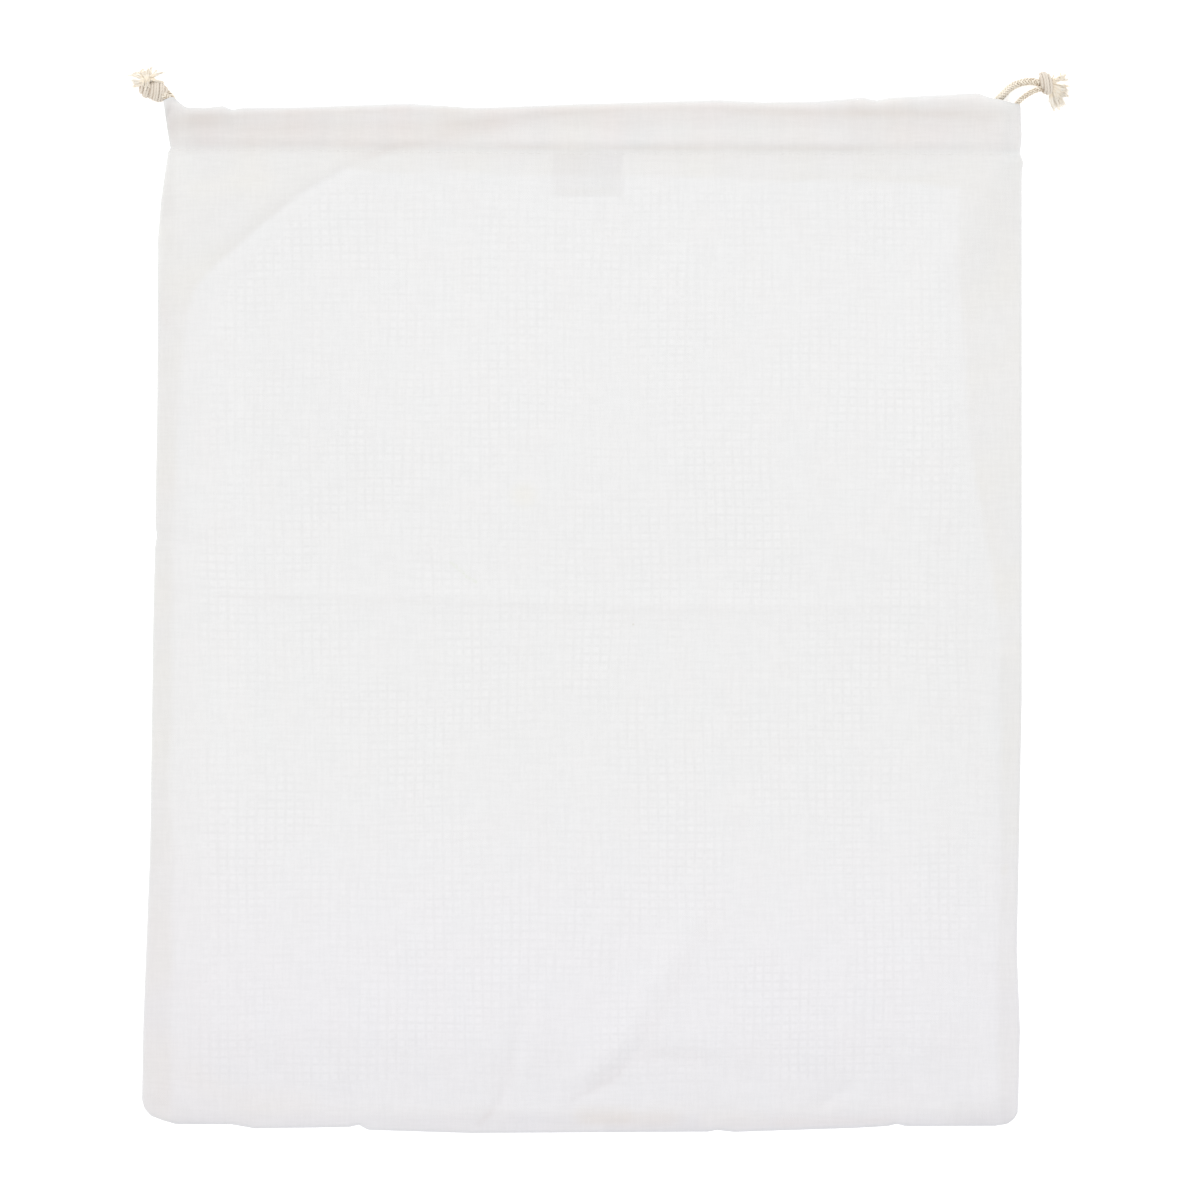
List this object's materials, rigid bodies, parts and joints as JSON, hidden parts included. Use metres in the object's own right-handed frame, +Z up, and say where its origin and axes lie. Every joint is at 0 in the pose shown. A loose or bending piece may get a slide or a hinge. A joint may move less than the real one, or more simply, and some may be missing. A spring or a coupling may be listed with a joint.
{
  "type": "drawstring produce bag",
  "caption": "Flat cotton drawstring bag with a plain front, a net back and knotted drawcords at the top corners, for loose fruit and vegetables.",
  "frame": {"origin": "the middle of the cloth's outline, on the surface that the bag lies on", "axes": "+Y towards the mouth, +X to the right seen from above the plain front, +Z up out of the plain front"},
  "size_m": [0.3297, 0.3716, 0.016],
  "materials": {
    "plain_cotton": "matt, thin plain-woven off-white cotton muslin",
    "net_cotton": "matt, even square net of off-white cotton yarn",
    "label_tape": "smooth woven tape, blank",
    "raw_cotton_cord": "matt braided natural cotton cord with frayed ends"
  },
  "bodies": {
    "root": {"cotton_panel": "plain_cotton", "back_casing": "plain_cotton", "net_panel": "net_cotton", "label": "label_tape", "drawcord_left": "raw_cotton_cord", "drawcord_right": "raw_cotton_cord", "knot_left": "raw_cotton_cord", "knot_right": "raw_cotton_cord"}
  },
  "joints": []
}
